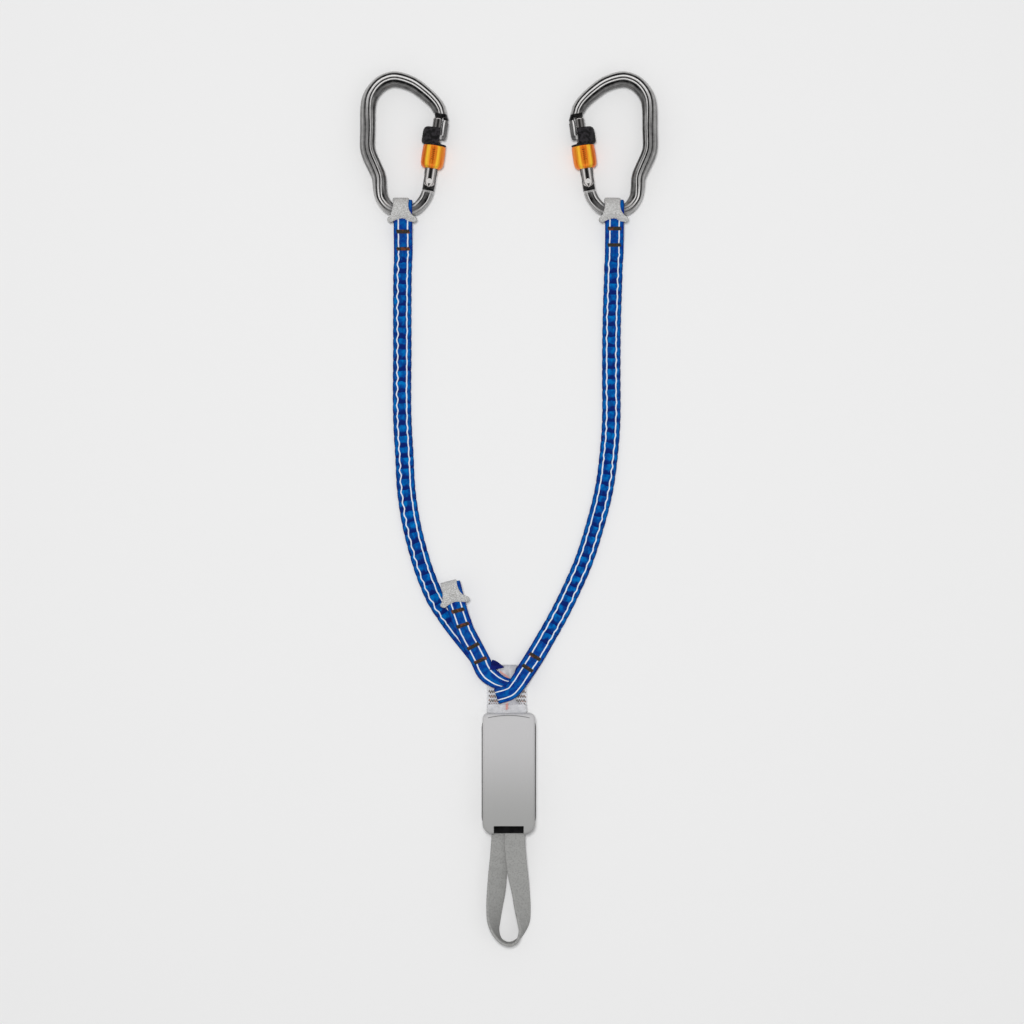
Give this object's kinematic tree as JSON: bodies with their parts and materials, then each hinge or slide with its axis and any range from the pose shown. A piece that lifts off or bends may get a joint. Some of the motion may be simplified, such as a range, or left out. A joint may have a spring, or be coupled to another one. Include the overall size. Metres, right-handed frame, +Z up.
{
  "type": "via ferrata lanyard",
  "caption": "Energy-absorbing via ferrata lanyard with elastic arms, auto-locking connectors, a short rest arm and a tie-in loop.",
  "frame": {"origin": "on the surface the lanyard lies on, under the middle of its box", "axes": "+X to the right, +Y from the tie-in loop to the connectors, +Z up from the surface"},
  "size_m": [0.2442, 0.7169, 0.024],
  "materials": {
    "forged_body": "satin anodised",
    "polished_gate": "polished",
    "stainless": "bright",
    "orange_sleeve": "anodised orange",
    "black_collar": "moulded",
    "spring_steel": "drawn wire",
    "keeper_rubber": "moulded matt",
    "blue_webbing": "woven with two white lines",
    "white_webbing": "woven",
    "clear_sheath": "thin film",
    "pouch_shell": "coated textile",
    "dark_piping": "woven edge",
    "black_tab": "plain",
    "grey_webbing": "woven"
  },
  "bodies": {
    "lanyard": {"left_eye_webbing": "blue_webbing", "right_eye_webbing": "blue_webbing", "left_keeper": "keeper_rubber", "right_keeper": "keeper_rubber", "rest_keeper": "keeper_rubber", "left_arm_webbing": "blue_webbing", "right_arm_webbing": "blue_webbing", "left_junction_strap": "blue_webbing", "right_junction_strap": "blue_webbing", "absorber_top_loop": "white_webbing", "loop_sheath": "clear_sheath", "pouch_front": "pouch_shell", "pouch_back": "pouch_shell", "left_pouch_piping": "dark_piping", "right_pouch_piping": "dark_piping", "tear_webbing_pack": "white_webbing", "tie_in_loop": "grey_webbing", "end_tab": "black_tab"},
    "left_carabiner": {"left_frame": "forged_body", "left_gate_rivet": "stainless"},
    "left_gate": {"left_gate": "polished_gate", "left_gate_plunger": "stainless", "left_gate_spring": "spring_steel", "left_sleeve_spring": "spring_steel"},
    "left_lock": {"left_lock_sleeve": "orange_sleeve", "left_lock_collar": "black_collar"},
    "right_carabiner": {"right_frame": "forged_body", "right_gate_rivet": "stainless"},
    "right_gate": {"right_gate": "polished_gate", "right_gate_plunger": "stainless", "right_gate_spring": "spring_steel", "right_sleeve_spring": "spring_steel"},
    "right_lock": {"right_lock_sleeve": "orange_sleeve", "right_lock_collar": "black_collar"}
  },
  "joints": [
    {"name": "left_carabiner_swing", "type": "hinge", "parent": "lanyard", "child": "left_carabiner", "pos_m": [-0.0867, 0.2441, 0.00985], "axis": [1, 0, 0], "range_deg": [-90, 90]},
    {"name": "left_gate_hinge", "type": "hinge", "parent": "left_carabiner", "child": "left_gate", "pos_m": [-0.06498, 0.26828, 0.00985], "axis": [0, 0, 1], "range_deg": [0, 27], "stiffness_Nm_per_rad": 0.3, "springref_deg": -20.05},
    {"name": "left_lock_slide", "type": "slide", "parent": "left_gate", "child": "left_lock", "axis": [-0.1459, -0.9893, 0], "range_m": [0, 0.007], "stiffness_N_per_m": 300, "springref_m": -0.006, "deforming": ["left_sleeve_spring"]},
    {"name": "right_carabiner_swing", "type": "hinge", "parent": "lanyard", "child": "right_carabiner", "pos_m": [0.0867, 0.2441, 0.00985], "axis": [1, 0, 0], "range_deg": [-90, 90]},
    {"name": "right_gate_hinge", "type": "hinge", "parent": "right_carabiner", "child": "right_gate", "pos_m": [0.06498, 0.26828, 0.00985], "axis": [0, 0, -1], "range_deg": [0, 27], "stiffness_Nm_per_rad": 0.3, "springref_deg": -20.05},
    {"name": "right_lock_slide", "type": "slide", "parent": "right_gate", "child": "right_lock", "axis": [0.1459, -0.9893, 0], "range_m": [0, 0.007], "stiffness_N_per_m": 300, "springref_m": -0.006, "deforming": ["right_sleeve_spring"]}
  ]
}
